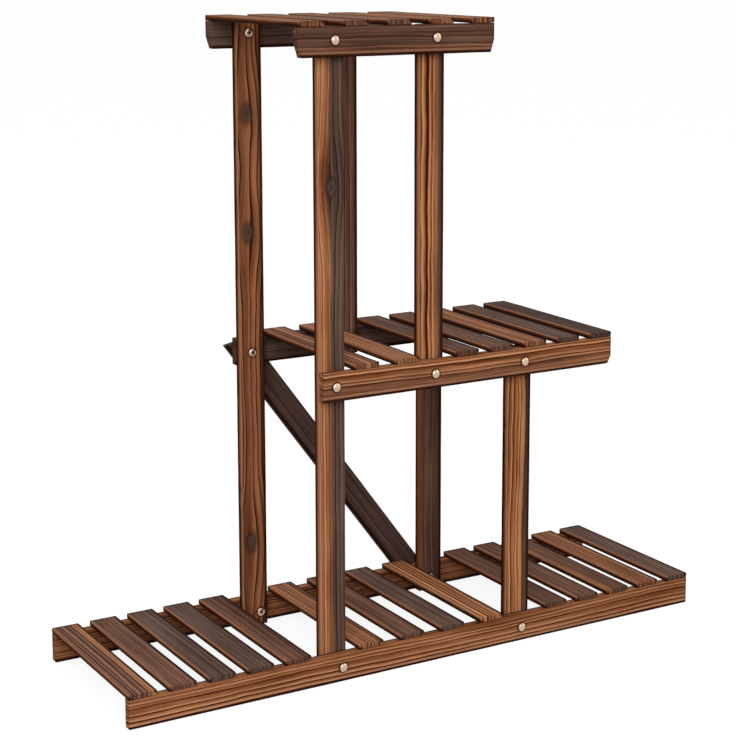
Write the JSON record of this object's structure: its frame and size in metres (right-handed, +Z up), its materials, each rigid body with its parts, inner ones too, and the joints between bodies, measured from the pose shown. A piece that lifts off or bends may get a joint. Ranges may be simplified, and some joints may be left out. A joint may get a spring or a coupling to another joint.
{
  "type": "plant stand",
  "caption": "Free-standing tiered wooden plant stand: slatted shelves on paired rails and bolted flat posts, with a sloping brace at the back.",
  "frame": {"origin": "on the floor, at the middle of the stand's length and depth", "axes": "+X along the stand from left to right seen from the front, +Y to the back, +Z up"},
  "size_m": [0.83, 0.2684, 0.812],
  "materials": {
    "rails": "brown stain, satin",
    "slats": "dark brown stain, satin",
    "posts": "brown stain, satin",
    "brace": "dark brown stain, satin",
    "nuts": "nickel plated",
    "screws": "nickel plated",
    "brads": "stained over"
  },
  "bodies": {
    "root": {"bottom_front_rail": "rails", "bottom_back_rail": "rails", "bottom_slat_01": "slats", "bottom_slat_02": "slats", "bottom_slat_03": "slats", "bottom_slat_04": "slats", "bottom_slat_05": "slats", "bottom_slat_06": "slats", "bottom_slat_07": "slats", "bottom_slat_08": "slats", "bottom_slat_09": "slats", "bottom_slat_10": "slats", "bottom_slat_11": "slats", "bottom_slat_12": "slats", "bottom_slat_13": "slats", "bottom_slat_14": "slats", "middle_front_rail": "rails", "middle_back_rail": "rails", "middle_slat_01": "slats", "middle_slat_02": "slats", "middle_slat_03": "slats", "middle_slat_04": "slats", "middle_slat_05": "slats", "middle_slat_06": "slats", "middle_slat_07": "slats", "top_front_rail": "rails", "top_back_rail": "rails", "top_slat_01": "slats", "top_slat_02": "slats", "top_slat_03": "slats", "top_slat_04": "slats", "top_slat_05": "slats", "left_front_post": "posts", "left_back_post": "posts", "upper_front_post": "posts", "upper_back_post": "posts", "lower_front_post": "posts", "lower_back_post": "posts", "back_brace": "brace", "front_dome_nuts": "nuts", "back_dome_nuts": "nuts", "brace_dome_nuts": "nuts", "front_screws": "screws", "back_screws": "screws", "brace_screws": "screws", "bottom_brads": "brads", "middle_brads": "brads", "top_brads": "brads"}
  },
  "joints": []
}
